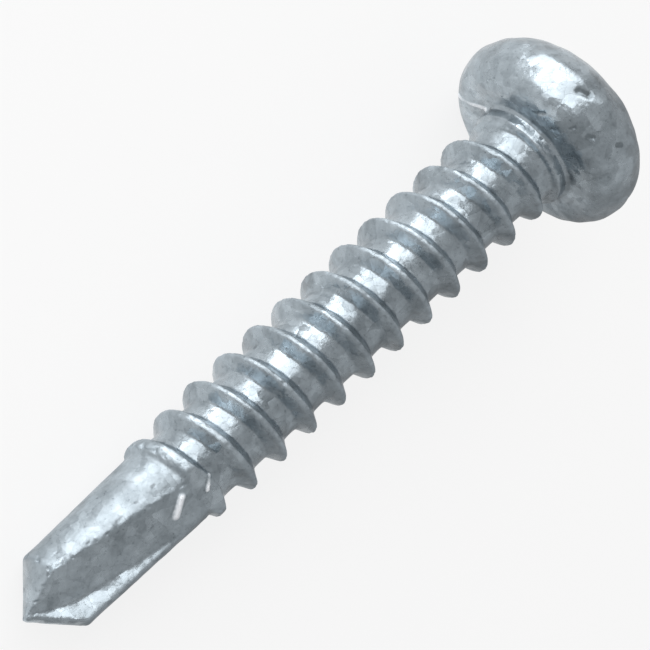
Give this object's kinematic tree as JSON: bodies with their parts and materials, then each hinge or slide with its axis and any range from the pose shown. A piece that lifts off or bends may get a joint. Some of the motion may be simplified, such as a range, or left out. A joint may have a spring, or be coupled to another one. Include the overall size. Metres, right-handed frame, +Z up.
{
  "type": "self drilling screw",
  "caption": "Pan head self drilling screw with a fluted drill point, coarse helical thread and cross recess, zinc plated, lying on its side.",
  "frame": {"origin": "middle of the box around the screw as it lies, on the floor", "axes": "+Z up from the floor; +X along the screw from the drill tip to the head, which lies 5.7 degrees higher because the head is wider than the thread"},
  "size_m": [0.0282, 0.0076, 0.0075],
  "materials": {
    "zinc_plated_steel": "bluish bright zinc plating, mottled, with small pits and rubbed crests"
  },
  "bodies": {
    "root": {"screw": "zinc_plated_steel"}
  },
  "joints": []
}
